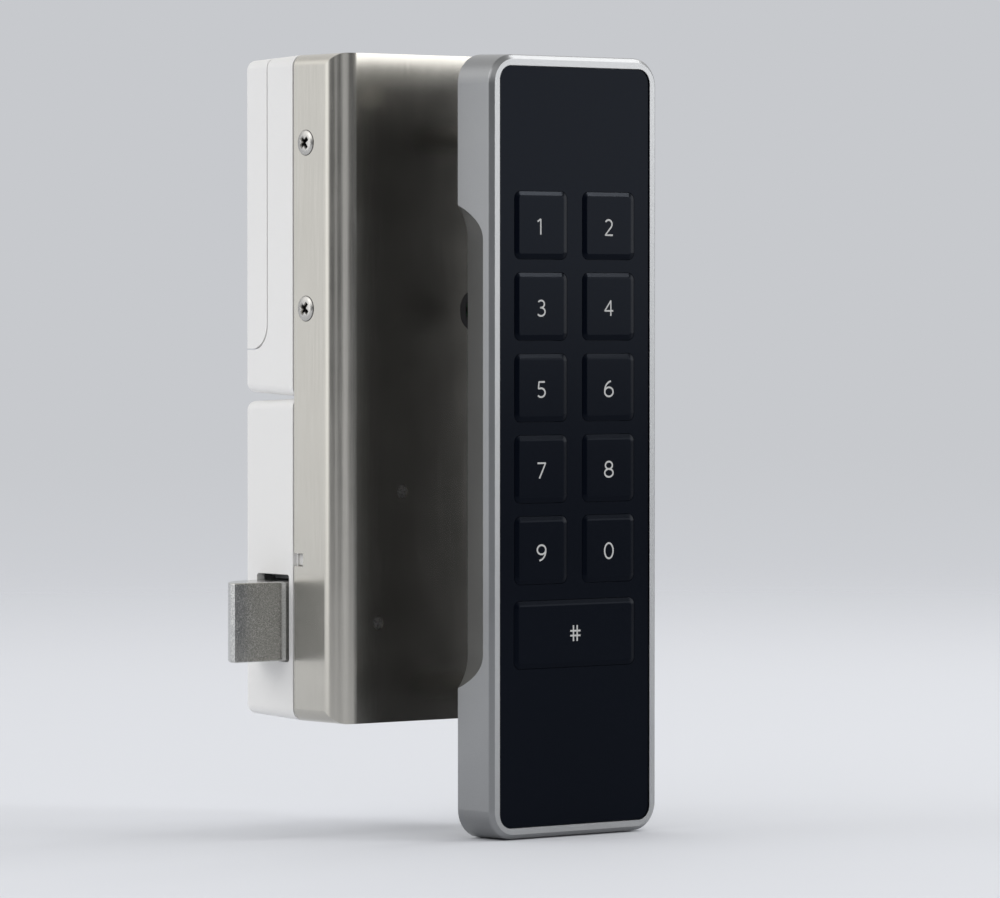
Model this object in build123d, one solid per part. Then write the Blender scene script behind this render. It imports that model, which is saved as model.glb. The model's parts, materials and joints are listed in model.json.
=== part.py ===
from build123d import *
import math
import os

# Keypad lock for a cabinet door: a keypad unit outside, a latch unit inside.
# All sizes are in millimetres. X runs right, Y into the door and Z up.
# The origin is the middle of the keypad unit's back face, on the door's outer plane.

# Door and general fits
door_t = 18.0  # door panel that the two units clamp
seat = 0.02  # gap between pieces that rest on each other
slip = 0.2  # gap around a sliding piece
hole_gap = 0.2  # gap around a screw in a clearance hole
thread_gap = 0.05  # gap around a screw in its threaded hole
merge = 0.1  # how far two joined shapes run into each other
past = 1.0  # how far a cutting shape runs past what it cuts

# Keypad housing
pad_w = 42.0
pad_h = 150.0
pad_t = 9.9
pad_corner_r = 5.7
pad_draft = 1.6  # degrees
rim_chamfer = 0.82
rim_bead_r = 0.65  # rounding between the side wall and the chamfer
rim_w = 1.24  # flat rim around the panel
pull_depth = 2.45  # how far the finger pull cuts in at the door
pull_lip = 7.4  # depth of the pull, from the door to its lip
pull_straight = 79.2
pull_end_r = 10.0

# Keypad panel and keys
panel_t = 1.5
panel_recess = 0.3  # panel below the rim
panel_gap = 0.1
panel_corner_r = 2.8
key_size = 12.9
key_wide = 29.9  # the double-width key
key_corner_r = 1.4
key_rise = 0.25  # key top above the panel
key_bevel = 0.9  # width of the sloping border
key_edge_r = 1.2  # soft edge between the border and the top
key_gap = 0.1
key_flange = 0.65  # flange past the key's outline, on each side
key_flange_t = 0.7
key_column = 16.8  # between the two columns
key_row = 15.52
key_top_z = 42.3
key_wide_z = -35.9

# Keypad inside
cavity_wall = 4.4  # side of the housing to the cavity
back_cover_t = 1.5
board_t = 1.2
board_margin = 0.4  # board to the cavity's sides
sheet_corner_r = 1.0
mat_t = 0.8
mat_margin = 0.7
dome_r = 3.4
dome_top_r = 2.5
bridge_half = 4.0  # half height of each cross bar, and radius of its boss
bridge_t = 2.5
post_r = 3.0
post_merge = 0.4  # how far a corner post runs into the wall
led_w = 1.6
led_h = 1.0
led_pitch = 6.0
led_z = 52.6
pad_screw_r = 0.85
pad_head_r = 1.9
pad_head_t = 1.2
pad_screw_bite = 1.8  # thread in the cross bar
pad_screw_edge = 4.0  # from the cavity's side
sink_r = 2.0  # countersunk heads in the back cover
sink_t = 1.05
cover_screw_len = 5.5
socket_w = 11.0
socket_h = 5.2
socket_d = 1.9
socket_wall = 1.0
socket_base = 0.7

# Fixing bolts through the door
bolt_top_z = 60.0
bolt_low_z = -47.5
bolt_r = 2.0
bolt_thread_r = 1.6
bolt_shoulder_r = 2.2
bolt_hole_r = 2.3
bolt_head_r = 3.5
bolt_head_t = 2.8
bolt_head_chamfer = 0.5
bolt_thread_len = 6.6
bolt_key_r = 1.6  # six-sided socket, to its corners
bolt_key_floor = 1.0
bolt_room = 0.5  # space around a head

# Cable inlets
inlet_z = 26.0
inlet_w = 12.0
inlet_h = 8.0
inlet_r = 3.5
inlet_wall = 1.4
inlet_flange = 0.8
inlet_flange_t = 0.5

# Inside case
case_left = -36.0  # flush with the door's edge
case_w = 50.0
case_low = -53.5
case_h = 129.0
tray_d = 14.0
tray_sheet = 1.5
tray_corner_r = 2.4
tray_bend_r = 4.5  # outer radius of the bends along the two sides
cover_d = 17.2
cover_draft = 2.4  # degrees
cover_wall = 1.8
cover_edge_r = 1.8
cover_split_z = 9.2
cover_split = 0.4
inner_r = 0.3  # least radius of an inner corner
seam_h = 0.5  # shadow groove between the tray and the covers
seam_d = 0.9
skirt_gap = 0.1
skirt_t = 1.4
skirt_d = 2.4
skirt_root = 1.4  # how far a skirt runs up into its cover

# Battery compartment
lid_seam = 9.0  # from the tray's rim
lid_low_z = 18.3
lid_corner_r = 5.0
lid_gap = 0.3
lid_wall = 1.5
floor_t = 1.2
floor_lift = 1.0  # battery floor above the tray's rim
box_wall_room = 2.2  # from the battery box's walls to the lid's inside
rail_w = 1.0
rail_out = 0.7
rail_root = 0.4
rail_lift = 2.0  # rib above the lid's seam
rail_low = 2.0  # from the lid's lower end to the rib
rail_top = 8.0  # from the case's top to the rib
rail_room = 2.0  # free groove past the rib
grip_count = 5
grip_len = 16.0
grip_w = 1.2
grip_deep = 0.5
grip_pitch = 2.4
grip_up = 6.0  # from the lid's lower end to the first groove
cell_r = 5.2
cell_len = 43.5
cell_edge = 0.5
cell_nub_r = 1.9
cell_nub = 1.0
cell_pitch = 10.7
cell_count = 4
contact_t = 0.4
contact_w = 6.0
contact_gap = 0.3

# Case screws and clips
case_screw_drop = 3.8  # below the tray's rim
case_screw_top_z = 58.4
case_screw_low_z = 26.4
case_screw_head_r = 2.45
case_screw_head_t = 1.05
case_screw_r = 1.4
case_screw_len = 6.0
boss_half = 3.4
boss_end = 1.0  # boss past the screw's end
clip_z = -22.2
clip_h = 2.5
clip_d = 2.8
clip_recess = 1.3  # tab below the tray's side
clip_pad_h = 10.0

# Latch
latch_lift = 2.3  # flat face above the tray's rim
latch_d = 10.0
latch_low = -41.9
latch_h = 15.4
latch_out = 12.6  # how far it stands out of the case
latch_in = 14.0  # length inside the case
latch_tip = 1.4
latch_edge_r = 0.35
latch_slot_gap = 0.5
latch_slot_top = 1.3
latch_slot_low = 0.25
latch_slot_r = 0.6
latch_travel = 13.0

# Carriage, rack and pinion
car_wall = 1.8
spring_len = 17.5
spring_r = 3.6  # to the middle of the wire
spring_wire = 0.65  # square section
spring_turns = 6
spring_peg_r = 2.6
spring_peg_len = 2.0
lug_len = 3.0
lug_h = 3.0
gear_module = 0.6
gear_teeth = 12
gear_root = 1.25  # tooth depth below the pitch line, in modules
gear_angle = 25.0  # pressure angle in degrees
gear_face = 3.8
gear_drop = 0.3  # below the carriage's inner edge
gear_play = 0.06  # taken off each flank
pinion_x = -10.0
pinion_end_gap = 0.3
pinion_room = 0.6
pinion_notch_h = 3.0
shaft_r = 1.5
shaft_gap = 0.05
shaft_in = 7.0

# Guide, motor and cradle
guide_wall = 1.8
guide_base = 1.8
guide_lip = 1.2
guide_shelf = 1.5  # ledges and lips over the carriage's edges
guide_screw_in = 5.0
motor_w = 12.0
motor_d = 10.0
motor_box = 9.0
motor_can = 15.0
motor_boss_r = 2.2
motor_boss = 1.0
motor_drop = 2.0  # motor face above the guide
cradle_wall = 1.4
cradle_len = 20.0
cradle_up = 1.5  # from the motor's face
cradle_lip = 1.2
cradle_hook = 1.0
cradle_tab = 6.0
cradle_tab_h = 8.0
small_screw_r = 1.2
small_head_r = 2.6
small_head_t = 1.6

# Control board
ctrl_w = 35.0
ctrl_h = 58.0
ctrl_t = 1.6
ctrl_corner_r = 1.5
ctrl_low_z = 13.0
ctrl_lift = 5.8  # board above the tray's floor
ctrl_inset = 3.0  # screw from the board's edges
standoff_r = 2.5
standoff_bore = 4.0
board_head_r = 2.2
board_head_t = 1.3
board_screw_bite = 3.0
plug_w = 8.0
plug_h = 5.0
plug_d = 4.5
plug_wall = 0.9
plug_at = (10.0, -11.5)  # places from the board's middle
chip_w = 9.0
chip_d = 1.2
chip_at = (-1.5, 0.0)
capacitor_r = 3.2
capacitor_d = 5.0
capacitor_at = (-10.0, 14.0)
sounder_r = 4.5
sounder_d = 4.0
sounder_hole_r = 0.8
sounder_hole_d = 2.0
sounder_at = (7.0, 12.0)

# Places that follow from the sizes above
inner_face = door_t
tray_floor = inner_face + tray_sheet
tray_rim = inner_face + tray_d
case_right = case_left + case_w
case_mid = case_left + case_w / 2
case_top = case_low + case_h
case_back = tray_rim + cover_d
case_screw_y = tray_rim - case_screw_drop
upper_low = cover_split_z + cover_split / 2
lower_top = cover_split_z - cover_split / 2
battery_floor = tray_rim + floor_lift
lid_seam_y = tray_rim + lid_seam
panel_front = -pad_t + panel_recess
panel_back = panel_front + panel_t
side_at_rim = pad_w / 2 - (pad_t - rim_chamfer) * math.tan(math.radians(pad_draft))
opening_w = 2 * (side_at_rim - rim_chamfer - rim_w)
opening_h = pad_h - pad_w + opening_w
cavity_w = pad_w - 2 * cavity_wall
cavity_h = pad_h - 2 * cavity_wall
cavity_r = post_r
bridge_back = panel_back + bridge_t
board_front = bridge_back + seat
board_back = board_front + board_t
flange_front = panel_back + seat
flange_back = flange_front + key_flange_t
mat_back = board_front - seat
mat_front = mat_back - mat_t
bolts_z = (bolt_top_z, bolt_low_z)
key_rows = [key_top_z - key_row * i for i in range(5)]
key_names = ["1", "2", "3", "4", "5", "6", "7", "8", "9", "0"]
key_places = [(side * key_column / 2, z) for z in key_rows for side in (-1, 1)]
wide_domes = [(side * key_column / 2, key_wide_z) for side in (-1, 1)]
latch_front = tray_rim + latch_lift
latch_back = latch_front + latch_d
latch_top = latch_low + latch_h
latch_mid = latch_low + latch_h / 2
latch_end_x = case_left + latch_in
skirt_out = tray_sheet + skirt_gap
skirt_in = skirt_out + skirt_t
guide_left = case_left + tray_bend_r + slip
guide_right = case_right - tray_bend_r - slip
car_stop_x = latch_end_x + spring_len
car_right = car_stop_x + car_wall + slip
car_front = latch_front - slip - car_wall
car_back = latch_back + slip
car_low = latch_low - slip - car_wall
car_top = latch_top + slip + car_wall
spring_y = (latch_front + latch_back) / 2
pitch_r = gear_module * gear_teeth / 2
rack_pitch_y = car_front - gear_root * gear_module
pinion_y = rack_pitch_y - pitch_r
gear_top = car_top - car_wall - gear_drop
gear_low = gear_top - gear_face
guide_low = car_low - slip
guide_top = car_top + slip
motor_low = guide_top + guide_wall + motor_drop
motor_top = motor_low + motor_box + motor_can
cradle_low = motor_low + cradle_up
ctrl_mid_z = ctrl_low_z + ctrl_h / 2
ctrl_front = tray_floor + ctrl_lift
ctrl_back = ctrl_front + ctrl_t


def prism(sketch, y0, y1, taper=0):
    """An X-Z outline standing on the plane y0 and reaching to y1."""
    way = 1 if y1 > y0 else -1
    outline = Plane.XZ.offset(-y0) * sketch
    return extrude(outline, amount=abs(y1 - y0), dir=(0, way, 0), taper=taper)


def block(x0, x1, y0, y1, z0, z1):
    """A box between two corners."""
    middle = Pos((x0 + x1) / 2, (y0 + y1) / 2, (z0 + z1) / 2)
    return middle * Box(x1 - x0, y1 - y0, z1 - z0)


def rod_x(y, z, r, x0, x1):
    return Pos((x0 + x1) / 2, y, z) * Rot(0, 90, 0) * Cylinder(r, x1 - x0)


def rod_y(x, z, r, y0, y1):
    return Pos(x, (y0 + y1) / 2, z) * Rot(90, 0, 0) * Cylinder(r, y1 - y0)


def rod_z(x, y, r, z0, z1):
    return Pos(x, y, (z0 + z1) / 2) * Cylinder(r, z1 - z0)


def write(name, *shapes):
    """Write one node, as one solid or as a group of separate solids."""
    solids = [solid for shape in shapes for solid in shape.solids()]
    shape = solids[0] if len(solids) == 1 else Compound(children=solids)
    export_step(shape, f"parts/{name}.step")


def keypad_housing():
    body = prism(RectangleRounded(pad_w, pad_h, pad_corner_r), 0, -pad_t, pad_draft)
    front = body.faces().sort_by(Axis.Y)[0]
    body = chamfer(front.edges(), rim_chamfer)
    shoulder_y = -pad_t + rim_chamfer
    shoulder = body.edges().filter_by_position(Axis.Y, shoulder_y - seat, shoulder_y + seat)
    body = fillet(shoulder, rim_bead_r)
    body -= prism(RectangleRounded(opening_w, opening_h, panel_corner_r), -pad_t, panel_back)
    body -= prism(RectangleRounded(cavity_w, cavity_h, cavity_r), -pad_t, 0)
    for side in (-1, 1):
        body -= finger_pull(side)
    post_end = -back_cover_t - seat
    for z in bolts_z:
        half = cavity_w / 2
        body += block(-half, half, panel_back, bridge_back, z - bridge_half, z + bridge_half)
        body += rod_y(0, z, bridge_half, panel_back, post_end)
        body -= rod_y(0, z, bolt_thread_r + thread_gap, -bolt_thread_len - slip, 0)
    for x, z in corner_posts():
        body += rod_y(x, z, post_r, panel_back, post_end)
        body -= rod_y(x, z, pad_screw_r + thread_gap, -cover_screw_len - slip, 0)
    for x, z in board_screw_places():
        body -= rod_y(x, z, pad_screw_r + thread_gap, bridge_back - pad_screw_bite - slip, bridge_back)
    return body


def finger_pull(side):
    """A slot with round ends, cut at a slant from the door up to the lip."""
    side_at_lip = pad_w / 2 - pull_lip * math.tan(math.radians(pad_draft))
    wall_x = pad_w / 2 - pull_depth
    slant = (side_at_lip - wall_x) / pull_lip
    slot = SlotCenterToCenter(pull_straight, 2 * pull_end_r, rotation=90)
    outline = Plane.XZ * (Pos(side * (wall_x + pull_end_r), 0) * slot)
    length = pad_t * math.hypot(1, slant)
    return extrude(outline, amount=length, dir=(side * slant, -1, 0))


def corner_posts():
    x = cavity_w / 2 - post_r + post_merge
    z = cavity_h / 2 - post_r + post_merge
    return [(i * x, j * z) for i in (-1, 1) for j in (-1, 1)]


def board_screw_places():
    x = cavity_w / 2 - pad_screw_edge
    return [(side * x, z) for side in (-1, 1) for z in bolts_z]


def fascia_panel():
    w = opening_w - 2 * panel_gap
    h = opening_h - 2 * panel_gap
    body = prism(RectangleRounded(w, h, panel_corner_r - panel_gap), panel_back, panel_front)
    tall = key_size + 2 * key_gap
    for width, places in ((key_size, key_places), (key_wide, [(0, key_wide_z)])):
        hole = RectangleRounded(width + 2 * key_gap, tall, key_corner_r + key_gap)
        for x, z in places:
            body -= prism(Pos(x, z) * hole, panel_back, panel_front)
    return body


def key(width, x, z):
    """A key with sloping borders, held behind the panel by its flange."""
    outline = Pos(x, z) * RectangleRounded(width, key_size, key_corner_r)
    grow = 2 * key_flange
    rim = Pos(x, z) * Rectangle(width + grow, key_size + grow)
    slope = math.degrees(math.atan(key_bevel / key_rise))
    top = prism(outline, panel_front, panel_front - key_rise, slope)
    face = top.faces().sort_by(Axis.Y)[0]
    top = fillet(face.edges(), key_edge_r)
    stem = prism(outline, flange_front, panel_front)
    return stem + top + prism(rim, flange_front, flange_back)


def keypad_mat():
    low = bolt_low_z + bridge_half + slip
    high = key_top_z + key_size / 2 + key_flange + slip
    outline = RectangleRounded(cavity_w - 2 * mat_margin, high - low, sheet_corner_r)
    body = prism(Pos(0, (low + high) / 2) * outline, mat_back, mat_front)
    rise = mat_front - flange_back - seat
    for x, z in key_places + wide_domes:
        dome = Cone(dome_r, dome_top_r, rise)
        body += Pos(x, mat_front - rise / 2, z) * Rot(90, 0, 0) * dome
    return body


def keypad_board():
    low = bolt_low_z - bridge_half
    high = bolt_top_z + bridge_half
    outline = RectangleRounded(cavity_w - 2 * board_margin, high - low, sheet_corner_r)
    body = prism(Pos(0, (low + high) / 2) * outline, board_front, board_back)
    for z in bolts_z:
        body -= rod_y(0, z, bridge_half + slip, board_front, board_back)
    for x, z in board_screw_places():
        body -= rod_y(x, z, pad_screw_r + hole_gap, board_front, board_back)
    return body


def keypad_board_screws():
    """Small pan-head screws that go in towards the keypad."""
    screws = []
    head_y = board_back + seat
    for x, z in board_screw_places():
        head = rod_y(x, z, pad_head_r, head_y, head_y + pad_head_t)
        screws.append(head + rod_y(x, z, pad_screw_r, bridge_back - pad_screw_bite, head_y))
    return screws


def status_leds():
    leds = []
    for x in (-led_pitch / 2, led_pitch / 2):
        x0 = x - led_w / 2
        leds.append(block(x0, x0 + led_w, mat_front, mat_back, led_z - led_h / 2, led_z + led_h / 2))
    return leds


def keypad_socket():
    half_w = socket_w / 2
    half_h = socket_h / 2
    end = board_back + socket_d
    body = block(-half_w, half_w, board_back + seat, end, inlet_z - half_h, inlet_z + half_h)
    half_w -= socket_wall
    half_h -= socket_wall
    return body - block(-half_w, half_w, board_back + socket_base, end, inlet_z - half_h, inlet_z + half_h)


def keypad_back_cover():
    gap = 2 * panel_gap
    outline = RectangleRounded(cavity_w - gap, cavity_h - gap, cavity_r - panel_gap)
    body = prism(outline, -back_cover_t, 0)
    for z in bolts_z:
        body -= rod_y(0, z, bolt_hole_r, -back_cover_t, 0)
    for x, z in corner_posts():
        body -= rod_y(x, z, pad_screw_r + hole_gap, -back_cover_t, 0)
        body -= countersink(x, z, sink_r + thread_gap)
    return body - prism(Pos(0, inlet_z) * inlet(0), -back_cover_t, 0)


def countersink(x, z, r):
    """A cone that opens towards the door's outer face."""
    return Pos(x, -sink_t / 2, z) * Rot(-90, 0, 0) * Cone(r - sink_t, r, sink_t)


def back_cover_screws():
    screws = []
    for x, z in corner_posts():
        head = countersink(x, z, sink_r)
        screws.append(head + rod_y(x, z, pad_screw_r, -cover_screw_len, -sink_t + merge))
    return screws


def fixing_bolts():
    bolts = []
    head_y = tray_floor + seat
    for z in bolts_z:
        bolt = rod_y(0, z, bolt_thread_r, -bolt_thread_len, seat)
        bolt += rod_y(0, z, bolt_r, seat, inner_face)
        bolt += rod_y(0, z, bolt_shoulder_r, inner_face, head_y)
        head = rod_y(0, z, bolt_head_r, head_y, head_y + bolt_head_t)
        outer = head.faces().sort_by(Axis.Y)[-1]
        head = chamfer(outer.edges(), bolt_head_chamfer)
        socket = Pos(0, z) * RegularPolygon(bolt_key_r, 6)
        head -= prism(socket, head_y + bolt_key_floor, head_y + bolt_head_t)
        bolts.append(bolt + head)
    return bolts


def inlet(shrink):
    return RectangleRounded(inlet_w - 2 * shrink, inlet_h - 2 * shrink, inlet_r - shrink)


def grommet(y0, y1, flange_y):
    """A rubber ring from y0 to y1, with a flange that starts at flange_y."""
    place = Pos(0, inlet_z)
    ring = prism(place * inlet(panel_gap), y0, y1)
    ring += prism(place * inlet(-inlet_flange), flange_y, flange_y + inlet_flange_t)
    return ring - prism(place * inlet(inlet_wall), y0, y1)


def cable_grommets():
    outer_flange = -back_cover_t - seat - inlet_flange_t
    inner_flange = tray_floor + seat
    outer = grommet(outer_flange, 0, outer_flange)
    inner = grommet(inner_face, inner_flange + inlet_flange_t, inner_flange)
    return [outer, inner]


def case_outline(inset, z0, z1, round_low, round_high):
    """The case's outline between two heights, with round corners at its outer ends."""
    width = case_w - 2 * inset
    outline = Pos(case_mid, (z0 + z1) / 2) * Rectangle(width, z1 - z0)
    r = max(tray_corner_r - inset, inner_r)
    if round_low:
        outline = fillet(outline.vertices().group_by(Axis.Y)[0], r)
    if round_high:
        outline = fillet(outline.vertices().group_by(Axis.Y)[-1], r)
    return outline


def case_side(side):
    return case_left if side < 0 else case_right


def inward(side, near, far):
    """Two X places, at these depths in from one side of the case, in order."""
    x = case_side(side)
    return sorted((x - side * near, x - side * far))


def side_screw_places():
    return [(side, z) for side in (-1, 1) for z in (case_screw_top_z, case_screw_low_z)]


def screw_cone(side, z, grow):
    """The countersunk head of a side screw, flush with the tray's wall."""
    r = case_screw_head_r + grow
    cone = Cone(r, r - case_screw_head_t, case_screw_head_t)
    turn = Rot(0, 90, 0) if side < 0 else Rot(0, -90, 0)
    x = case_side(side) - side * case_screw_head_t / 2
    return Pos(x, case_screw_y, z) * turn * cone


def tray_form(inset):
    """The tray's outer form, or its hollow when inset, with a round bend along each side."""
    floor = inner_face + inset
    low = case_low + inset
    high = case_top - inset
    body = prism(case_outline(inset, low, high, True, True), floor, tray_rim)
    section = Pos(case_mid, (floor + tray_rim) / 2) * Rectangle(case_w - 2 * inset, tray_rim - floor)
    section = fillet(section.vertices().group_by(Axis.Y)[0], tray_bend_r - inset)
    return body & extrude(Plane.XY.offset(low) * section, amount=high - low)


def case_tray():
    body = tray_form(0) - tray_form(tray_sheet)
    for z in bolts_z:
        body -= rod_y(0, z, bolt_hole_r, inner_face, tray_floor)
    body -= prism(Pos(0, inlet_z) * inlet(0), inner_face, tray_floor)
    for x, z in mechanism_screw_places():
        body -= rod_y(x, z, small_screw_r + thread_gap, inner_face, tray_floor)
    for side, z in side_screw_places():
        body -= screw_cone(side, z, thread_gap)
        x0, x1 = inward(side, 0, tray_sheet + merge)
        body -= rod_x(case_screw_y, z, case_screw_r + merge, x0, x1)
    half = clip_h / 2
    for side in (-1, 1):
        x0, x1 = inward(side, -past, tray_sheet + past)
        body -= block(x0, x1, tray_rim - clip_d, tray_rim, clip_z - half, clip_z + half)
    return body


def case_screws():
    screws = []
    for side, z in side_screw_places():
        x0, x1 = inward(side, case_screw_head_t - merge, case_screw_len)
        screws.append(screw_cone(side, z, 0) + rod_x(case_screw_y, z, case_screw_r, x0, x1))
    return screws


def cover_solid(inset, z0, z1, upper, y1):
    """A cover's outer form, or its hollow when inset, narrowing away from the tray."""
    outline = case_outline(inset, z0, z1, not upper, upper)
    return prism(outline, tray_rim, y1, cover_draft)


def rounded_cover(z0, z1, upper):
    """A cover's outer form with soft edges and the shadow groove along the tray."""
    body = cover_solid(0, z0, z1, upper, case_back)
    split_face = body.faces().sort_by(Axis.Z)[0 if upper else -1]
    split_edges = split_face.edges().filter_by_position(Axis.Y, tray_rim + past, case_back)
    back_edges = body.faces().sort_by(Axis.Y)[-1].edges()
    body = fillet(back_edges + split_edges, cover_edge_r)
    low = z0 - past if upper else z0 + seam_d
    high = z1 - seam_d if upper else z1 + past
    core = prism(case_outline(seam_d, low, high, not upper, upper), tray_rim, tray_rim + seam_h)
    band = block(case_left - past, case_right + past, tray_rim, tray_rim + seam_h, z0 - past, z1 + past)
    return body - (band - core)


def skirt(z0, z1, upper):
    """The rim of a cover that reaches into the tray on three sides."""
    low = z0 if upper else z0 + skirt_out
    high = z1 - skirt_out if upper else z1
    outline = case_outline(skirt_out, low, high, not upper, upper)
    ring = prism(outline, tray_rim - skirt_d, tray_rim + skirt_root)
    low = z0 - past if upper else z0 + skirt_in
    high = z1 - skirt_in if upper else z1 + past
    return ring - prism(case_outline(skirt_in, low, high, False, False), tray_floor, case_back)


def lid_zone(gap):
    """The part of the upper cover that the battery lid takes up, seen from the side."""
    y0 = lid_seam_y + gap
    z0 = lid_low_z + gap
    y1 = case_back + past
    z1 = case_top + past
    outline = Pos((y0 + y1) / 2, (z0 + z1) / 2) * Rectangle(y1 - y0, z1 - z0)
    corner = outline.vertices().group_by(Axis.Y)[0].sort_by(Axis.X)[0]
    outline = fillet(corner, lid_corner_r)
    return extrude(Plane.YZ.offset(case_left - past) * outline, amount=case_w + 2 * past, dir=(1, 0, 0))


def upper_hollow(inset, low):
    return cover_solid(inset, low, case_top - inset, True, case_back - inset)


def upper_cover():
    shell = rounded_cover(upper_low, case_top, True) - lid_zone(0)
    hollow = upper_hollow(cover_wall, upper_low + cover_wall)
    body = shell - hollow + skirt(upper_low, case_top, True)
    left = case_left - past
    right = case_right + past
    wall_low = lid_low_z - cover_wall
    body += hollow & block(left, right, battery_floor, case_back, wall_low, lid_low_z)
    body += hollow & block(left, right, battery_floor, battery_floor + floor_t, wall_low, case_top)
    ring = hollow - upper_hollow(cover_wall + rail_w, lid_low_z - past)
    wall_end = case_back - cover_wall - box_wall_room
    body += ring & block(left, right, battery_floor, wall_end, lid_low_z, case_top)
    for side in (-1, 1):
        body += lid_rail(side, 0)
    for side, z in side_screw_places():
        x0, x1 = inward(side, skirt_out, case_screw_len + boss_end)
        boss_low = case_screw_y - boss_half
        body += block(x0, x1, boss_low, battery_floor + floor_t, z - boss_half, z + boss_half)
        x0, x1 = inward(side, tray_sheet, case_screw_len + slip)
        body -= rod_x(case_screw_y, z, case_screw_r + thread_gap, x0, x1)
    return body


def lean(y):
    """How far the covers' sides have come in at this depth."""
    return math.tan(math.radians(cover_draft)) * (y - tray_rim)


def lid_rail(side, grow):
    """A rib on the battery box that holds the lid, or its groove when grown."""
    y = lid_seam_y + rail_lift
    wall = lean(y) + cover_wall
    x0, x1 = inward(side, wall - rail_out - grow, wall + rail_root)
    top = case_top - rail_top
    low = lid_low_z + rail_low
    if grow:
        top += rail_room
        low = lid_low_z - past
    return block(x0, x1, y - grow, y + rail_w + grow, low, top)


def battery_cover():
    body = rounded_cover(upper_low, case_top, True) & lid_zone(lid_gap)
    body -= upper_hollow(lid_wall, upper_low - past)
    for side in (-1, 1):
        body -= lid_rail(side, slip)
    groove = SlotOverall(grip_len, grip_w)
    for i in range(grip_count):
        z = lid_low_z + grip_up + grip_pitch * i
        body -= prism(Pos(case_mid, z) * groove, case_back - grip_deep, case_back)
    return body


def cell_xs():
    first = case_mid - cell_pitch * (cell_count - 1) / 2
    return [first + cell_pitch * i for i in range(cell_count)]


def cell_bay():
    """The low and high ends of the battery box, and the cells' place in Y."""
    high = case_top - cover_wall - rail_w - lean(case_back)
    return lid_low_z, high, battery_floor + floor_t + cell_r + seat


def aaa_cells():
    low, high, y = cell_bay()
    start = (low + high - cell_len - cell_nub) / 2
    cells = []
    for i, x in enumerate(cell_xs()):
        up = i % 2 == 0
        body_low = start if up else start + cell_nub
        body = rod_z(x, y, cell_r, body_low, body_low + cell_len)
        body = chamfer(body.edges().filter_by(GeomType.CIRCLE), cell_edge)
        nub_low = body_low + cell_len - merge if up else start
        cells.append(body + rod_z(x, y, cell_nub_r, nub_low, nub_low + cell_nub + merge))
    return cells


def cell_contacts():
    """A bow of spring strip between each end of a cell and the end wall of the box."""
    low, high, y = cell_bay()
    room = (high - low - cell_len - cell_nub) / 2
    rise = room - 2 * seat - contact_gap
    half = contact_w / 2
    contacts = []
    for x in cell_xs():
        for end, way in ((low + contact_gap, 1), (high - contact_gap, -1)):
            bow = rod_x(y, end, rise, x - half, x + half)
            bow -= rod_x(y, end, rise - contact_t, x - contact_w, x + contact_w)
            z0, z1 = sorted((end, end + way * (rise + past)))
            contacts.append(bow & block(x - half, x + half, y - 2 * rise, y + 2 * rise, z0, z1))
    return contacts


def lower_cover():
    body = rounded_cover(case_low, lower_top, False)
    low = case_low + cover_wall
    high = lower_top - cover_wall
    body -= cover_solid(cover_wall, low, high, False, case_back - cover_wall)
    body += skirt(case_low, lower_top, False)
    y0 = latch_front - latch_slot_gap
    y1 = latch_back + latch_slot_gap
    x0, x1 = inward(-1, -past, skirt_in + past)
    slot = block(x0, x1, y0, y1, latch_low - latch_slot_low, latch_top + latch_slot_top)
    body -= fillet(slot.edges().filter_by(Axis.X), latch_slot_r)
    half = clip_h / 2 - slip
    pad = clip_pad_h / 2
    for side in (-1, 1):
        x0, x1 = inward(side, clip_recess, skirt_out + merge)
        body += block(x0, x1, tray_rim - clip_d + slip, tray_rim, clip_z - half, clip_z + half)
        x0, x1 = inward(side, skirt_out, skirt_in)
        body += block(x0, x1, tray_rim - clip_d, tray_rim, clip_z - pad, clip_z + pad)
    return body


def latch_bolt():
    """A bolt with a flat locking face and a curved ramp on the side that closes."""
    tip_x = case_left - latch_out
    root_x = case_left - slip
    with BuildSketch() as outline:
        with BuildLine():
            Polyline(
                (root_x, latch_back),
                (latch_end_x, latch_back),
                (latch_end_x, latch_front),
                (tip_x, latch_front),
                (tip_x, latch_front + latch_tip),
            )
            TangentArc((root_x, latch_back), (tip_x, latch_front + latch_tip), tangent=(-1, 0))
        make_face()
    body = Pos(0, 0, latch_low) * extrude(outline.sketch, amount=latch_h)
    ends = body.faces().sort_by(Axis.Z)
    body = fillet(ends[0].edges() + ends[-1].edges(), latch_edge_r)
    lug_x = latch_end_x - lug_len
    half = lug_h / 2
    lug_y = car_front + slip
    return body + block(lug_x, latch_end_x, lug_y, latch_front, latch_mid - half, latch_mid + half)


def latch_carriage():
    body = block(guide_left, car_right, car_front, car_back, car_low, car_top)
    low = latch_low - slip
    high = latch_top + slip
    body -= block(guide_left, car_stop_x, latch_front - slip, car_back, low, high)
    half = lug_h / 2 + slip
    lug_x = latch_end_x - lug_len - slip
    lug_end = latch_end_x + latch_travel + slip
    body -= block(lug_x, lug_end, car_front, latch_front, latch_mid - half, latch_mid + half)
    body += rod_x(spring_y, latch_mid, spring_peg_r, car_stop_x - spring_peg_len, car_stop_x)
    return body + rack()


def rack():
    """Straight teeth along X on the side of the carriage that faces the door."""
    slope = math.tan(math.radians(gear_angle))
    pitch = math.pi * gear_module
    half = pitch / 4 - gear_play
    tip = half - gear_module * slope
    root = half + gear_root * gear_module * slope
    tip_y = rack_pitch_y - gear_module
    first = -round((latch_travel + pitch_r) / pitch)
    last = round(pitch_r / pitch)
    tooth = Polygon((-root, car_front), (-tip, tip_y), (tip, tip_y), (root, car_front), align=None)
    teeth = Part()
    for i in range(first, last + 1):
        x = pinion_x + i * pitch
        teeth += Pos(x, 0, gear_low) * extrude(tooth, amount=gear_face)
    return teeth


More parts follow.
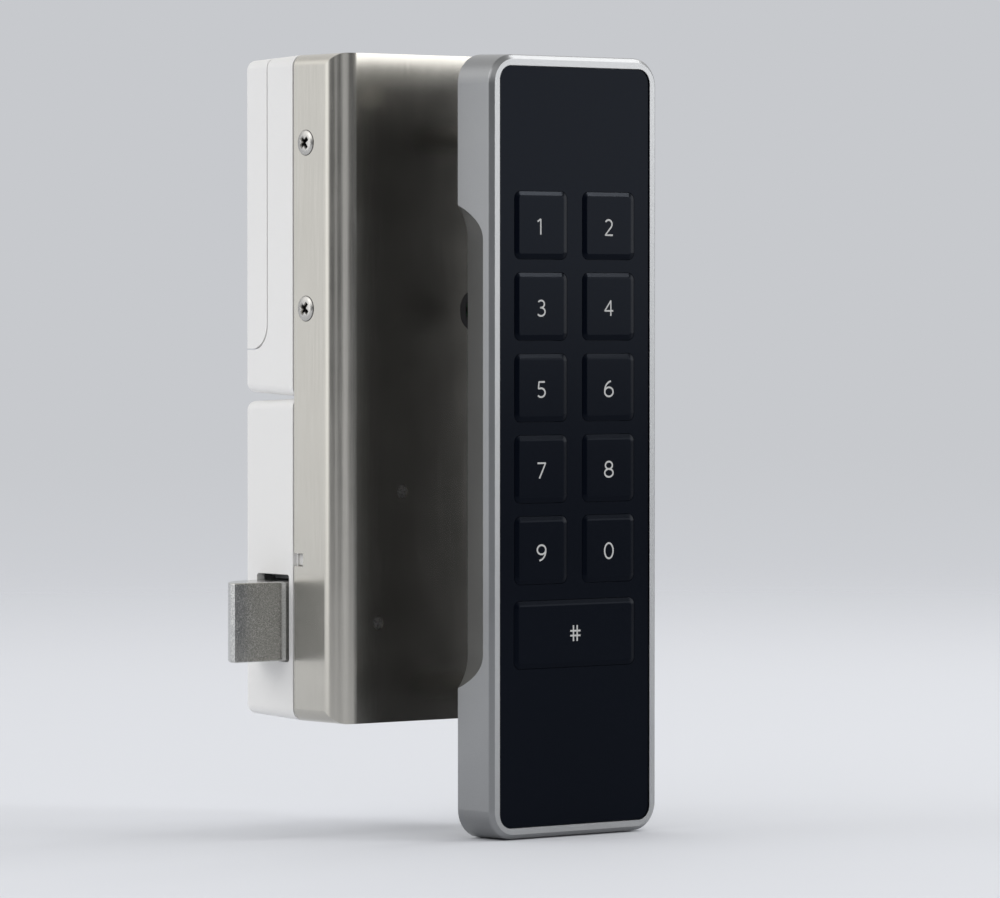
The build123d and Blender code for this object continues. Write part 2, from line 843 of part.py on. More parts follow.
def involute(base_r, r):
    """The angle that an involute has turned through where it reaches radius r."""
    roll = math.acos(base_r / r)
    return math.tan(roll) - roll


def drive_pinion():
    """A spur pinion with a tooth space facing a rack tooth at rest."""
    base_r = pitch_r * math.cos(math.radians(gear_angle))
    tip_r = pitch_r + gear_module
    root_r = pitch_r - gear_root * gear_module
    half = math.pi / (2 * gear_teeth) - gear_play / pitch_r + involute(base_r, pitch_r)

    def flank(r, side):
        angle = side * (half - involute(base_r, r))
        return (r * math.cos(angle), r * math.sin(angle))

    foot = (root_r * math.cos(half), root_r * math.sin(half))
    mid_r = (base_r + tip_r) / 2
    with BuildSketch() as tooth:
        with BuildLine():
            Line(foot, flank(base_r, 1))
            ThreePointArc(flank(base_r, 1), flank(mid_r, 1), flank(tip_r, 1))
            Line(flank(tip_r, 1), flank(tip_r, -1))
            ThreePointArc(flank(tip_r, -1), flank(mid_r, -1), flank(base_r, -1))
            Line(flank(base_r, -1), (foot[0], -foot[1]))
            Polyline((foot[0], -foot[1]), (0, 0), foot)
        make_face()
    profile = Circle(root_r)
    space_at_rack = 90 + 180 / gear_teeth
    for i in range(gear_teeth):
        profile += Rot(0, 0, space_at_rack + 360 * i / gear_teeth) * tooth.sketch
    profile -= Circle(shaft_r)
    low = gear_low + pinion_end_gap
    return Pos(pinion_x, pinion_y, low) * extrude(profile, amount=gear_face - 2 * pinion_end_gap)


def drive_shaft():
    return rod_z(pinion_x, pinion_y, shaft_r, gear_low, motor_low + shaft_in)


def latch_spring():
    """A square-wire coil between the latch and the carriage's end wall."""
    length = spring_len - spring_wire - 2 * seat
    coil = Helix(pitch=length / spring_turns, height=length, radius=spring_r)
    wire = Plane(origin=coil @ 0, x_dir=(1, 0, 0), z_dir=coil % 0) * Rectangle(spring_wire, spring_wire)
    start = Pos(latch_end_x + spring_wire / 2 + seat, spring_y, latch_mid) * Rot(0, 90, 0)
    return start * sweep(wire, path=coil, is_frenet=True)


def latch_guide():
    """A channel for the carriage, with ledges under its edges and lips over them."""
    left = guide_left
    right = guide_right
    front = tray_floor + seat
    bed = front + guide_base
    ledge = car_front - slip
    lip = car_back + slip
    low = guide_low - guide_wall
    top = guide_top + guide_wall
    shelf_low = guide_low + guide_shelf
    shelf_top = guide_top - guide_shelf
    body = block(left, right, front, lip + guide_lip, low, top)
    body -= block(left, right, bed, ledge, shelf_low, shelf_top)
    body -= block(left, right, ledge, lip, guide_low, guide_top)
    body -= block(left, right, car_back, lip + guide_lip, shelf_low, shelf_top)
    notch = pitch_r + gear_module + pinion_room
    body -= block(pinion_x - notch, pinion_x + notch, bed, ledge, guide_top - pinion_notch_h, top)
    head = bolt_head_r + bolt_room
    head_end = tray_floor + bolt_head_t + bolt_room
    body -= block(-head, head, front, head_end, low - past, shelf_low)
    for x, z in guide_screw_places():
        body -= rod_y(x, z, small_screw_r + hole_gap, front, bed)
    return body


def guide_screw_places():
    return [(guide_left + guide_screw_in, latch_mid), (guide_right - guide_screw_in, latch_mid)]


def cradle_screw_places():
    reach = motor_w / 2 + cradle_wall + cradle_tab / 2
    z = cradle_low + cradle_len / 2
    return [(pinion_x - reach, z), (pinion_x + reach, z)]


def mechanism_screw_places():
    return guide_screw_places() + cradle_screw_places()


def mechanism_screws():
    screws = []
    head_y = tray_floor + guide_base + 2 * seat
    for x, z in mechanism_screw_places():
        screw = rod_y(x, z, small_head_r, head_y, head_y + small_head_t)
        screws.append(screw + rod_y(x, z, small_screw_r, inner_face + merge, head_y))
    return screws


def motor_cradle():
    half = motor_w / 2 + slip / 2
    outer = half + cradle_wall
    z0 = cradle_low
    z1 = cradle_low + cradle_len
    front = tray_floor + seat
    motor_front = pinion_y - motor_d / 2
    motor_back = pinion_y + motor_d / 2
    body = block(pinion_x - outer, pinion_x + outer, front, motor_back + cradle_lip, z0, z1)
    body -= block(pinion_x - half, pinion_x + half, motor_front - seat, motor_back + seat, z0, z1)
    mouth = half - cradle_hook
    body -= block(pinion_x - mouth, pinion_x + mouth, motor_back, motor_back + cradle_lip, z0, z1)
    tab = outer + cradle_tab
    tab_low = (z0 + z1 - cradle_tab_h) / 2
    body += block(pinion_x - tab, pinion_x + tab, front, front + guide_base, tab_low, tab_low + cradle_tab_h)
    for x, z in cradle_screw_places():
        body -= rod_y(x, z, small_screw_r + hole_gap, front, front + guide_base)
    return body


def gear_motor():
    """A gearbox block with a motor can on top, and a bearing hole for the shaft."""
    split = motor_low + motor_box
    left = pinion_x - motor_w / 2
    front = pinion_y - motor_d / 2
    box = block(left, left + motor_w, front, front + motor_d, motor_low, split)
    can = rod_z(pinion_x, pinion_y, motor_w / 2, split, motor_top)
    can &= block(left, left + motor_w, front, front + motor_d, split, motor_top)
    boss = rod_z(pinion_x, pinion_y, motor_boss_r, motor_top, motor_top + motor_boss)
    hole = rod_z(pinion_x, pinion_y, shaft_r + shaft_gap, motor_low, motor_low + shaft_in + slip)
    return box + can + boss - hole


def ctrl_holes():
    x = ctrl_w / 2 - ctrl_inset
    z = ctrl_h / 2 - ctrl_inset
    return [(case_mid + i * x, ctrl_mid_z + j * z) for i in (-1, 1) for j in (-1, 1)]


def control_board():
    outline = Pos(case_mid, ctrl_mid_z) * RectangleRounded(ctrl_w, ctrl_h, ctrl_corner_r)
    body = prism(outline, ctrl_front, ctrl_back)
    for x, z in ctrl_holes():
        body -= rod_y(x, z, small_screw_r + hole_gap, ctrl_front, ctrl_back)
    return body


def board_standoffs():
    end = ctrl_front - seat
    posts = []
    for x, z in ctrl_holes():
        post = rod_y(x, z, standoff_r, tray_floor + seat, end)
        posts.append(post - rod_y(x, z, small_screw_r + thread_gap, end - standoff_bore, end))
    return posts


def board_screws():
    head_y = ctrl_back + seat
    screws = []
    for x, z in ctrl_holes():
        head = rod_y(x, z, board_head_r, head_y, head_y + board_head_t)
        screws.append(head + rod_y(x, z, small_screw_r, ctrl_front - board_screw_bite, head_y))
    return screws


def on_board(place, w, h, d):
    """A block on the control board, at a place from the board's middle."""
    x = case_mid + place[0] - w / 2
    z = ctrl_mid_z + place[1] - h / 2
    return block(x, x + w, ctrl_back + seat, ctrl_back + d, z, z + h)


def can_on_board(place, r, low, high):
    return rod_y(case_mid + place[0], ctrl_mid_z + place[1], r, ctrl_back + low, ctrl_back + high)


def board_parts():
    """Plug, chip, capacitor and sounder on the control board."""
    plug = on_board(plug_at, plug_w, plug_h, plug_d)
    mouth = on_board(plug_at, plug_w - 2 * plug_wall, plug_h - 2 * plug_wall, plug_d)
    plug -= Pos(0, plug_wall, 0) * mouth
    chip = on_board(chip_at, chip_w, chip_w, chip_d)
    capacitor = can_on_board(capacitor_at, capacitor_r, seat, capacitor_d)
    sounder = can_on_board(sounder_at, sounder_r, seat, sounder_d)
    sounder -= can_on_board(sounder_at, sounder_hole_r, sounder_d - sounder_hole_d, sounder_d)
    return [plug, chip, capacitor, sounder]


os.makedirs("parts", exist_ok=True)
write("keypad_housing", keypad_housing())
write("fascia_panel", fascia_panel())
for name, (x, z) in zip(key_names, key_places):
    write(f"key_{name}", key(key_size, x, z))
write("key_hash", key(key_wide, 0, key_wide_z))
write("keypad_mat", keypad_mat())
write("keypad_board", keypad_board())
write("keypad_board_screws", *keypad_board_screws())
write("status_leds", *status_leds())
write("keypad_socket", keypad_socket())
write("keypad_back_cover", keypad_back_cover())
write("back_cover_screws", *back_cover_screws())
write("fixing_bolts", *fixing_bolts())
write("cable_grommets", *cable_grommets())
write("case_tray", case_tray())
write("case_screws", *case_screws())
write("upper_cover", upper_cover())
write("battery_cover", battery_cover())
write("aaa_cells", *aaa_cells())
write("cell_contacts", *cell_contacts())
write("lower_cover", lower_cover())
write("latch_bolt", latch_bolt())
write("latch_carriage", latch_carriage())
write("latch_spring", latch_spring())
write("drive_pinion", drive_pinion())
write("drive_shaft", drive_shaft())
write("latch_guide", latch_guide())
write("motor_cradle", motor_cradle())
write("gear_motor", gear_motor())
write("mechanism_screws", *mechanism_screws())
write("control_board", control_board())
write("board_standoffs", *board_standoffs())
write("board_screws", *board_screws())
write("board_parts", *board_parts())
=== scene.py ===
import bpy
import bmesh
import json
import math
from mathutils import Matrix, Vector


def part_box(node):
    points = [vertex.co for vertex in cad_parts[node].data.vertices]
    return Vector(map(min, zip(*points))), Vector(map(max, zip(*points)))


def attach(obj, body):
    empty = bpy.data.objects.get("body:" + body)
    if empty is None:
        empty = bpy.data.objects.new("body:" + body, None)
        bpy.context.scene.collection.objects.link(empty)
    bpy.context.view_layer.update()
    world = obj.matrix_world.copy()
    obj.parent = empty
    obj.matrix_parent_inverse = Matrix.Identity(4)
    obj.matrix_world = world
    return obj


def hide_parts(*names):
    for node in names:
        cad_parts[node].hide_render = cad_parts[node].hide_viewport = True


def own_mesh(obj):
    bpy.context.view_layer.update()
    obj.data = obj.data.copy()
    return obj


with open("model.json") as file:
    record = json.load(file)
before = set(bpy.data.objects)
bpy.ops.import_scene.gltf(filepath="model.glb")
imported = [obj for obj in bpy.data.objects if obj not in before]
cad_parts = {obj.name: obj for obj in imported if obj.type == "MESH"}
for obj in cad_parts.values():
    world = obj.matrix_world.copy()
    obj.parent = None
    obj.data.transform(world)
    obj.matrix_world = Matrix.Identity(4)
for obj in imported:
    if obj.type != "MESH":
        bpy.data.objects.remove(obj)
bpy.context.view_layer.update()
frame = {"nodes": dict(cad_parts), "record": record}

# Sizes in metres, in the lock's own frame: X right, Y to the back, Z up.
MM = 0.001
KEY_FACE_Y = -9.85 * MM
CASE_LEFT = -36.0 * MM
CASE_RIGHT = 14.0 * MM
CASE_MID = (CASE_LEFT + CASE_RIGHT) / 2
CASE_HALF = (CASE_RIGHT - CASE_LEFT) / 2
HEAD_RISE = 0.2 * MM
CELL_X = -27.05 * MM
CELL_PITCH = 10.7 * MM
FLOOR_Z = -75.0 * MM
SMOOTH_ANGLE = math.radians(35)


def linear(red, green, blue):
    """A colour as picked on a screen, from 0 to 255, turned into light."""
    light = []
    for value in (red, green, blue):
        share = value / 255
        light.append(share / 12.92 if share < 0.04045 else ((share + 0.055) / 1.055) ** 2.4)
    return (*light, 1.0)


# Shader nodes


class Wire:
    """A shader value that takes part in plain sums; each sum adds its Math node."""

    def __init__(self, nodes, socket):
        self.nodes = nodes
        self.socket = socket

    def sum(self, operation, *values):
        return self.nodes.node("ShaderNodeMath", {"operation": operation}, dict(enumerate(values)))

    def __add__(self, other):
        return self.sum("ADD", self, other)

    def __sub__(self, other):
        return self.sum("SUBTRACT", self, other)

    def __rsub__(self, other):
        return self.sum("SUBTRACT", other, self)

    def __mul__(self, other):
        return self.sum("MULTIPLY", self, other)

    def __lt__(self, other):
        return self.sum("LESS_THAN", self, other)

    def __gt__(self, other):
        return self.sum("GREATER_THAN", self, other)

    def __abs__(self):
        return self.sum("ABSOLUTE", self)

    __radd__ = __add__
    __rmul__ = __mul__


class Nodes:
    """A node tree, with one method that makes any node in it."""

    def __init__(self, tree):
        self.tree = tree

    def plug(self, socket, value):
        if isinstance(value, Wire):
            self.tree.links.new(value.socket, socket)
        else:
            socket.default_value = value

    def node(self, kind, settings=None, inputs=None, output=0):
        made = self.tree.nodes.new(kind)
        for name, value in (settings or {}).items():
            setattr(made, name, value)
        for name, value in (inputs or {}).items():
            self.plug(made.inputs[name], value)
        return Wire(self, made.outputs[output])

    def mix(self, share, first, second):
        """Two colours mixed by a share from 0 to 1."""
        return self.node("ShaderNodeMix", {"data_type": "RGBA"}, {0: share, 6: first, 7: second}, 2)

    def between(self, value, low, high):
        """A smooth step from 0 at low to 1 at high."""
        return self.node("ShaderNodeMapRange", {"interpolation_type": "SMOOTHSTEP"},
                         {"Value": value, "From Min": low, "From Max": high})


class Finish(Nodes):
    """One procedural material on a Principled shader, patterned on Object coordinates."""

    def __init__(self, name, roughness=0.5, metallic=0.0, **steady):
        self.material = bpy.data.materials.new(name)
        self.material.use_nodes = True
        super().__init__(self.material.node_tree)
        self.shader = self.tree.nodes["Principled BSDF"]
        self.feed("Roughness", roughness)
        self.feed("Metallic", metallic)
        for socket, value in steady.items():
            self.feed(socket.replace("_", " "), value)
        self.place = self.node("ShaderNodeTexCoord", output="Object")

    def feed(self, socket, value):
        self.plug(self.shader.inputs[socket], value)

    def stretched(self, x, y, z):
        return self.node("ShaderNodeMapping", inputs={"Vector": self.place, "Scale": (x, y, z)})

    def axis(self, letter):
        return self.node("ShaderNodeSeparateXYZ", inputs={0: self.place}, output=letter)

    def noise(self, size, detail, place=None):
        """Cloudy noise whose spots are about this many metres across."""
        return self.node("ShaderNodeTexNoise", inputs={
            "Vector": place or self.place, "Scale": 1 / size, "Detail": detail})

    def grains(self, size):
        """Rounded grains about this many metres across."""
        return self.node("ShaderNodeTexVoronoi", {"feature": "SMOOTH_F1"},
                         {"Vector": self.place, "Scale": 1 / size, "Smoothness": 0.6})

    def bump(self, height, depth, strength=0.5):
        self.feed("Normal", self.node("ShaderNodeBump", inputs={
            "Strength": strength, "Distance": depth, "Height": height}))


def cast_silver():
    """Satin silver on a zinc casting."""
    made = Finish("cast_silver", metallic=1.0)
    fine = made.noise(0.25 * MM, 3)
    broad = made.noise(14 * MM, 3)
    tone = broad * 0.5 + fine * 0.5
    made.feed("Base Color", made.mix(tone, linear(138, 139, 140), linear(154, 155, 156)))
    made.feed("Roughness", 0.24 + fine * 0.1 + broad * 0.05)
    made.bump(fine, 0.012 * MM)
    return made.material


def dark_lacquer(name, grain):
    """Navy-black lacquer with a fine grain, as on the panel and the keys."""
    made = Finish(name, Specular_IOR_Level=0.055, Specular_Tint=(0.72, 0.82, 1.0, 1.0))
    fine = made.noise(grain, 2)
    broad = made.noise(22 * MM, 2)
    tone = fine * 0.7 + broad * 0.3
    made.feed("Base Color", made.mix(tone, linear(3, 6, 12), linear(8, 11, 20)))
    made.feed("Roughness", 0.12 + fine * 0.08)
    made.bump(fine, 0.004 * MM)
    return made.material


def legend_ink():
    """Light grey print on the keys."""
    made = Finish("legend_ink", roughness=0.6)
    fine = made.noise(0.09 * MM, 2)
    made.feed("Base Color", made.mix(fine, linear(168, 168, 167), linear(190, 190, 188)))
    made.bump(fine, 0.004 * MM, 1.0)
    return made.material


def white_moulding():
    """White plastic with a fine spark-eroded texture."""
    made = Finish("white_moulding", Specular_IOR_Level=0.4)
    spark = made.grains(0.34 * MM)
    broad = made.noise(30 * MM, 3)
    made.feed("Base Color", made.mix(broad, linear(234, 233, 231), linear(240, 239, 237)))
    made.feed("Roughness", 0.42 + spark * 0.18)
    made.bump(spark, 0.02 * MM)
    return made.material


def nickel_sheet(name):
    """Warm nickel plate on pressed steel, with the mill's faint grain along Z."""
    made = Finish(name, metallic=1.0)
    grain = made.noise(1.0, 4, made.stretched(4200, 4200, 70))
    cloud = made.noise(9 * MM, 4)
    tone = made.between(grain, 0.3, 0.75) * 0.4 + cloud * 0.6
    made.feed("Base Color", made.mix(tone, linear(184, 181, 173), linear(198, 195, 187)))
    made.feed("Roughness", 0.15 + grain * 0.08 + cloud * 0.08)
    made.bump(grain, 0.005 * MM)
    return made.material


def cast_plate():
    """Bright plate over the latch's casting, which shows through as a fine speckle."""
    made = Finish("cast_plate", metallic=1.0)
    grit = made.grains(0.3 * MM)
    fine = made.noise(0.18 * MM, 4)
    cloud = made.noise(5 * MM, 3)
    speck = made.between(fine * 0.6 + grit * 0.5, 0.35, 0.75)
    tone = speck * 0.7 + cloud * 0.3
    made.feed("Base Color", made.mix(tone, linear(172, 172, 170), linear(214, 214, 211)))
    made.feed("Roughness", 0.14 + speck * 0.12)
    made.bump(fine * 0.6 + grit * 0.4, 0.01 * MM)
    return made.material


def bright_steel(name, sunk=None):
    """Bright zinc on screws and bolts, with painted shade darkening the cross recess sunk into a
    head.
    """
    made = Finish(name, metallic=1.0)
    fine = made.noise(0.2 * MM, 3)
    cloud = made.noise(2.2 * MM, 3)
    shade = made.mix(cloud, linear(176, 174, 170), linear(206, 204, 199))
    if sunk:
        # Painted shade: the cross recess turns near-black with depth, standing in for the shade
        # that falls inside it.
        deep = made.between(sunk(made), 0, 0.16 * MM)
        shade = made.mix(deep * 0.9, shade, linear(34, 34, 35))
    made.feed("Base Color", shade)
    made.feed("Roughness", 0.2 + fine * 0.15)
    made.bump(fine, 0.008 * MM)
    return made.material


# The two depths below mark the cross recesses, where bright_steel paints shade.
def case_head_depth(made):
    """How far a point lies inside the rounded heads on the case's two sides."""
    return CASE_HALF + HEAD_RISE - abs(made.axis("X") - CASE_MID)


def plate_head_depth(made):
    """How far a point lies in front of the flush heads on the back plate."""
    return 0 - made.axis("Y")


def moulded(name, deep, pale, roughness, spark=0.3 * MM):
    """A moulded piece in one colour, with its fine skin."""
    made = Finish(name)
    skin = made.grains(spark)
    broad = made.noise(12 * MM, 3)
    made.feed("Base Color", made.mix(broad * 0.6 + skin * 0.4, linear(*deep), linear(*pale)))
    made.feed("Roughness", roughness + skin * 0.15)
    made.bump(skin, 0.02 * MM)
    return made.material


def solder_mask():
    """Green solder mask over copper tracks."""
    made = Finish("solder_mask")
    upright = made.node("ShaderNodeMapping", inputs={
        "Vector": made.place, "Rotation": (math.pi / 2, 0, 0)})
    tracks = made.node("ShaderNodeTexBrick", {"offset": 0.35}, {
        "Vector": upright, "Scale": 220.0, "Mortar Size": 0.09, "Mortar Smooth": 0.1,
        "Brick Width": 0.9, "Row Height": 0.35}, "Fac")
    fine = made.noise(0.3 * MM, 2)
    green = made.mix(fine, linear(16, 66, 38), linear(24, 84, 50))
    made.feed("Base Color", made.mix(tracks, green, linear(44, 112, 66)))
    made.feed("Roughness", 0.3 + fine * 0.1)
    made.bump(tracks, 0.03 * MM, 0.6)
    return made.material


def brass():
    """Brass with the fine rings that turning leaves."""
    made = Finish("brass", metallic=1.0)
    cut = made.noise(1.0, 3, made.stretched(400, 400, 9000))
    made.feed("Base Color", made.mix(cut, linear(176, 138, 72), linear(214, 178, 104)))
    made.feed("Roughness", 0.24 + cut * 0.16)
    made.bump(cut, 0.008 * MM)
    return made.material


def clear_lens():
    """Water-clear plastic of the indicator lights."""
    made = Finish("clear_lens", roughness=0.2, IOR=1.5)
    fine = made.noise(0.3 * MM, 2)
    made.feed("Base Color", made.mix(fine, linear(226, 232, 236), linear(240, 244, 246)))
    return made.material


def cell_wrap():
    """A plain sleeve round each cell, with bare metal inside its shrunk edge."""
    bare_r = 4.75 * MM
    low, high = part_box("aaa_cells")
    made = Finish("cell_wrap")
    across = made.node("ShaderNodeMath", {"operation": "WRAP"},
                       {0: made.axis("X") - CELL_X, 1: CELL_PITCH / 2, 2: -CELL_PITCH / 2})
    deep = made.axis("Y") - (low.y + high.y) / 2
    metal = across * across + deep * deep < bare_r ** 2
    fine = made.noise(0.3 * MM, 3)
    sleeve = made.mix(fine, linear(44, 58, 84), linear(54, 70, 98))
    made.feed("Base Color", made.mix(metal, sleeve, linear(196, 194, 190)))
    made.feed("Metallic", metal)
    made.feed("Roughness", 0.24 + fine * 0.16)
    made.bump(fine, 0.01 * MM)
    return made.material


FINISHES = {
    "satin_cast_metal": cast_silver(),
    "dark_panel": dark_lacquer("panel_lacquer", 0.16 * MM),
    "key_plastic": dark_lacquer("key_lacquer", 0.2 * MM),
    "silicone": moulded("silicone", (150, 154, 158), (172, 176, 180), 0.55),
    "circuit_board": solder_mask(),
    "screw_steel": bright_steel("bright_steel"),
    "clear_lens": clear_lens(),
    "black_plastic": moulded("black_moulding", (20, 20, 21), (34, 34, 36), 0.45),
    "rubber": moulded("rubber", (22, 22, 23), (38, 38, 39), 0.7, 0.5 * MM),
    "nickel_plated_steel": nickel_sheet("nickel_sheet"),
    "white_plastic": white_moulding(),
    "cell_sleeve": cell_wrap(),
    "cast_latch": cast_plate(),
    "grey_plastic": moulded("grey_moulding", (138, 140, 143), (160, 162, 165), 0.45),
    "brass_gear": brass(),
    "motor_steel": nickel_sheet("motor_can"),
}
INK = legend_ink()
CASE_SCREW = bright_steel("case_screw_steel", case_head_depth)
PLATE_SCREW = bright_steel("plate_screw_steel", plate_head_depth)
SLOTS = {part["node"]: part["material_slot"] for part in frame["record"]["subparts"]}


def wear(piece, finish):
    piece.data.materials.clear()
    piece.data.materials.append(finish)


for node, slot in SLOTS.items():
    wear(frame["nodes"][node], FINISHES[slot])


# Modelling


def start(adder, **settings):
    """Add a primitive by itself, and go into edit mode with nothing selected."""
    bpy.ops.object.select_all(action="DESELECT")
    adder(**settings)
    bpy.ops.object.transform_apply(location=True, rotation=True, scale=True)
    bpy.ops.object.mode_set(mode="EDIT")
    bpy.ops.mesh.select_mode(type="FACE")
    bpy.ops.mesh.select_all(action="DESELECT")
    return bpy.context.object


def pick(piece, test):
    """Select the faces whose middle passes the test."""
    mesh = bmesh.from_edit_mesh(piece.data)
    for face in mesh.faces:
        face.select_set(test(face.calc_center_median()))
    mesh.select_flush_mode()
    bmesh.update_edit_mesh(piece.data)


def extrude(x, y, z):
    bpy.ops.mesh.extrude_region_move(TRANSFORM_OT_translate={"value": (x, y, z)})


def call(piece, name):
    """Give a piece and its mesh one name."""
    piece.name = name
    piece.data.name = name


def leave(piece, name):
    bpy.ops.object.mode_set(mode="OBJECT")
    call(piece, name)


def leave_outward(piece, name):
    """Turn every face outward before leaving edit mode."""
    bpy.ops.mesh.select_all(action="SELECT")
    bpy.ops.mesh.normals_make_consistent(inside=False)
    leave(piece, name)


def only(*pieces):
    """Select these pieces and nothing else."""
    bpy.ops.object.select_all(action="DESELECT")
    for piece in pieces:
        piece.select_set(True)
    bpy.context.view_layer.objects.active = pieces[0]


def apply_modifier(piece, kind, **settings):
    only(piece)
    made = piece.modifiers.new(kind.lower(), kind)
    for setting, value in settings.items():
        setattr(made, setting, value)
    bpy.ops.object.modifier_apply(modifier=made.name)


def smooth(piece):
    """Smooth the shading between the sharp edges."""
    only(piece)
    bpy.ops.object.shade_smooth_by_angle(angle=SMOOTH_ANGLE)


def soften(piece, width, degrees=30, segments=3):
    """Round the sharp edges and smooth the shading between them."""
    apply_modifier(piece, "BEVEL", width=width, segments=segments, limit_method="ANGLE",
                   angle_limit=math.radians(degrees), harden_normals=False)
    smooth(piece)


def turned(name, profile, sides=48):
    """A round piece on the Z axis, drawn up from a disc through each radius and height in mm."""
    (radius, height), *steps = profile
    piece = start(bpy.ops.mesh.primitive_circle_add, vertices=sides, radius=radius * MM,
                  fill_type="NGON", location=(0, 0, height * MM))
    bpy.ops.mesh.select_all(action="SELECT")
    for wide, high in steps:
        extrude(0, 0, (high - height) * MM)
        share = wide / radius
        bpy.ops.transform.resize(value=(share, share, 1), center_override=(0, 0, high * MM))
        radius, height = wide, high
    leave_outward(piece, name)
    smooth(piece)
    return piece


def linked(piece):
    bpy.context.scene.collection.objects.link(piece)
    return piece


def another(piece, name):
    """A copy with its own mesh."""
    twin = piece.copy()
    twin.data = piece.data.copy()
    call(twin, name)
    return linked(twin)


def place(piece, turn, spot):
    """Turn a piece made on the Z axis, move it, and keep that in its mesh."""
    only(piece)
    piece.rotation_euler = turn
    piece.location = spot
    bpy.ops.object.transform_apply(location=True, rotation=True, scale=True)


def joined(pieces, name):
    only(*pieces)
    bpy.ops.object.join()
    call(pieces[0], name)
    return pieces[0]


def finish_piece(piece, node, body="lock", finish=None):
    """Give a piece its own finish or that of its CAD node, and the body it rides on."""
    wear(piece, finish or FINISHES[SLOTS[node]])
    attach(piece, body)


# Key legends: thin strokes printed on each key

ARC_STEP = 9
RING_POINTS = 360 // ARC_STEP


def arc(x, z, wide, tall, begin, end):
    """Points along part of an ellipse, in degrees from the right, anticlockwise."""
    steps = max(4, int(abs(end - begin) / ARC_STEP))
    turns = [math.radians(begin + (end - begin) * i / steps) for i in range(steps + 1)]
    return [(x + wide * math.cos(turn), z + tall * math.sin(turn)) for turn in turns]


def ring(x, z, wide, tall):
    """A whole ellipse, from its top round to the point before it."""
    return arc(x, z, wide, tall, 90, 450)[:-1]


# Each stroke is a line of points in millimetres about the middle of the sign.
SIX = [arc(0.78, -0.45, 1.88, 2.05, 97, 180), ring(0, -0.65, 1.1, 0.95)]
SIGNS = {
    "1": [[(-0.6, 1.12), (0.22, 1.6), (0.22, -1.6)]],
    "2": [arc(-0.1, 0.7, 0.9, 0.9, 150, -35) + [(-0.98, -1.58), (1.0, -1.58)]],
    "3": [arc(-0.12, 0.86, 0.84, 0.74, 145, -90) + [(-0.42, 0.12)],
          [(-0.42, 0.12)] + arc(-0.12, -0.74, 1.02, 0.86, 90, -145)],
    "4": [[(0.5, -1.6), (0.5, 1.58), (-1.1, -0.55), (1.12, -0.55)]],
    "5": [[(0.86, 1.56), (-0.66, 1.56), (-0.82, 0.2)] + arc(-0.12, -0.66, 1.04, 0.92, 108, -140)],
    "6": SIX,
    "7": [[(-1.05, 1.56), (1.05, 1.56), (-0.55, -1.6)]],
    "8": [ring(0, 0.83, 0.92, 0.77), ring(0, -0.77, 1.1, 0.83)],
    "9": [[(-x, -z) for x, z in stroke] for stroke in SIX],
    "0": [ring(0, 0, 1.12, 1.6)],
    "hash": [[(-0.49, 1.66), (-0.49, -1.66)], [(0.49, 1.66), (0.49, -1.66)],
             [(-1.34, 0.5), (1.34, 0.5)], [(-1.34, -0.5), (1.34, -0.5)]],
}
SIGN_WIDE = 0.95
SIGN_TALL = 0.92
STROKE_R = 0.17 * MM
STROKE_RISE = 0.07  # a stroke's rise off the key, as a share of its half width
CORNER_ANGLE = math.radians(30)
CORNER_GAP = 0.06

# How far a sign sits off the middle of its key, to the right and up, in millimetres.
OFFSET = (0, -0.3)
OFFSETS = {"1": (-0.4, -0.3), "9": (0, -0.5), "0": (0, -0.5), "hash": (0, 0)}


def cornered(stroke):
    """The stroke with two close points at each sharp corner, so that it keeps its width there."""
    points = [Vector(point) for point in stroke]
    eased = [points[0]]
    for before, corner, after in zip(points, points[1:], points[2:]):
        come = (corner - before).normalized()
        go = (after - corner).normalized()
        if come.angle(go) > CORNER_ANGLE:
            eased += [corner - come * CORNER_GAP, corner + go * CORNER_GAP]
        else:
            eased.append(corner)
    return eased + [points[-1]]


def legend(sign, strokes, x, z):
    """One sign, drawn as round strokes and pressed nearly flat on its key's face."""
    line = bpy.data.curves.new("legend_" + sign, "CURVE")
    line.dimensions = "3D"
    line.bevel_depth = STROKE_R
    line.bevel_resolution = 2
    line.use_fill_caps = True
    for stroke in strokes:
        eased = cornered(stroke)
        spline = line.splines.new("POLY")
        spline.points.add(len(eased) - 1)
        spline.use_cyclic_u = len(stroke) == RING_POINTS
        for point, (across, up) in zip(spline.points, eased):
            point.co = (across * SIGN_WIDE * MM, 0, up * SIGN_TALL * MM, 1)
    piece = linked(bpy.data.objects.new("legend_" + sign, line))
    only(piece)
    bpy.ops.object.convert(target="MESH")
    bpy.ops.transform.resize(value=(1, STROKE_RISE, 1), center_override=(0, 0, 0))
    bpy.ops.transform.translate(value=(x, KEY_FACE_Y, z))
    bpy.ops.object.transform_apply(location=True, rotation=True, scale=True)
    smooth(piece)
    wear(piece, INK)
    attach(piece, "key_" + sign)


for sign, strokes in SIGNS.items():
    low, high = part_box("key_" + sign)
    middle = (low + high) / 2
    across, up = OFFSETS.get(sign, OFFSET)
    legend(sign, strokes, middle.x + across * MM, middle.z + up * MM)


# Cross-head screws, with sizes in millimetres

CROSS_ABOVE = 0.1
CROSS_TAPER = 0.62
CASE_SCREW_PROFILE = [(1.0, -6.0), (1.4, -5.6), (1.4, -1.05), (2.45, 0), (2.4, 0.12),
                      (2.2, 0.24), (1.9, 0.37), (1.4, 0.47), (0.7, 0.52)]
CASE_SCREW_Y = 28.2
CASE_SCREW_Z = (58.4, 26.4)
PLATE_SCREW_PROFILE = [(0.6, -5.5), (0.85, -5.2), (0.85, -1.05), (0.95, -1.04), (2.0, -0.03),
                       (1.9, 0)]
PLATE_SCREW_SPOTS = ((20, -14, 68), (64, 14, 68), (41, -14, -68), (8, 14, -68))


